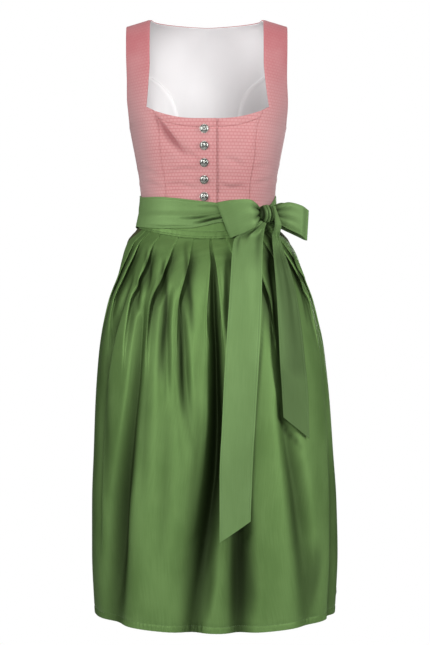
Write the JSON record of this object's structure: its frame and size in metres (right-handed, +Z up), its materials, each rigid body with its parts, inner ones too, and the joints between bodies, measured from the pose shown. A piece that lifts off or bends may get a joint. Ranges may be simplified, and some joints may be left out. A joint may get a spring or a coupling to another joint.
{
  "type": "dirndl dress with apron",
  "caption": "Sleeveless folk dress on a hollow worn form: fitted button-front bodice, gathered midi skirt and pleated apron tied in a ribbon bow.",
  "frame": {"origin": "on the middle plane, level with the shoulder points and halfway between the front and back of the shoulder seams", "axes": "+Z up; the front faces -Y; +X is the wearer's left"},
  "size_m": [0.4283, 0.4076, 1.0389],
  "materials": {
    "bodice_jacquard": "woven cotton jacquard in dusty pink and red, small check repeat, matte",
    "lining_cotton": "plain white cotton lining, matte",
    "button_metal": "antique silver, domed, darkened in the hollows",
    "skirt_cloth": "olive-brown woven cotton, matte",
    "apron_satin": "green satin weave with a soft sheen",
    "ribbon_satin": "green satin ribbon with a soft sheen"
  },
  "bodies": {
    "root": {"front_middle_right": "bodice_jacquard", "front_middle_left": "bodice_jacquard", "front_side_right": "bodice_jacquard", "front_side_left": "bodice_jacquard", "back_middle": "bodice_jacquard", "back_side_right": "bodice_jacquard", "back_side_left": "bodice_jacquard", "lining_middle": "lining_cotton", "lining_side_right": "lining_cotton", "lining_side_left": "lining_cotton", "button_1": "button_metal", "button_2": "button_metal", "button_3": "button_metal", "button_4": "button_metal", "button_5": "button_metal", "skirt_front": "skirt_cloth", "skirt_back": "skirt_cloth", "apron_panel": "apron_satin", "apron_band": "apron_satin", "waist_ribbon_front": "ribbon_satin", "waist_ribbon_back": "ribbon_satin", "bow_knot": "ribbon_satin", "bow_loop_right_hand": "ribbon_satin", "bow_loop_left_hand": "ribbon_satin", "tail_long": "ribbon_satin", "tail_short": "ribbon_satin"}
  },
  "joints": []
}
